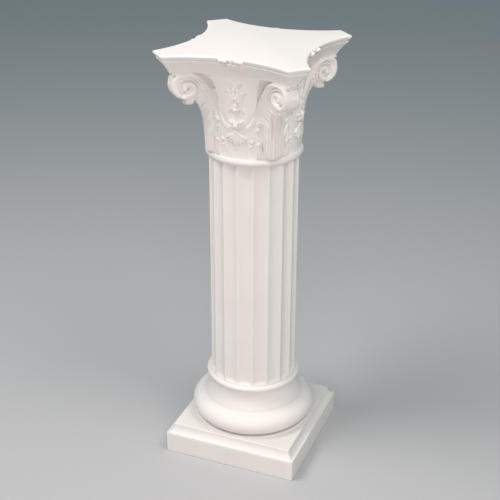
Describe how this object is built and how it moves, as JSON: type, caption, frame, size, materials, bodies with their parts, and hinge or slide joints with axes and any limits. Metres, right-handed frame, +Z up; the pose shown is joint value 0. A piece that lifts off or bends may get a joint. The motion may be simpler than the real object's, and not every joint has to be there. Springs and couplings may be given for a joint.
{
  "type": "decorative column",
  "caption": "Free-standing fluted display column with a moulded square-plinth base and a leaf-and-scroll capital under a concave-sided top slab.",
  "frame": {"origin": "middle of the plinth's underside, on the floor", "axes": "+Z up the column, the front face of plinth and capital looks along -Y, +X to its right"},
  "size_m": [0.32, 0.32, 0.9157],
  "materials": {
    "base_plaster": "matte cast plaster, warm white",
    "shaft_plaster": "matte cast plaster, warm white",
    "capital_plaster": "matte cast plaster, warm white, slightly greyer in the hollows"
  },
  "bodies": {
    "root": {"base": "base_plaster", "shaft": "shaft_plaster", "capital": "capital_plaster"}
  },
  "joints": []
}
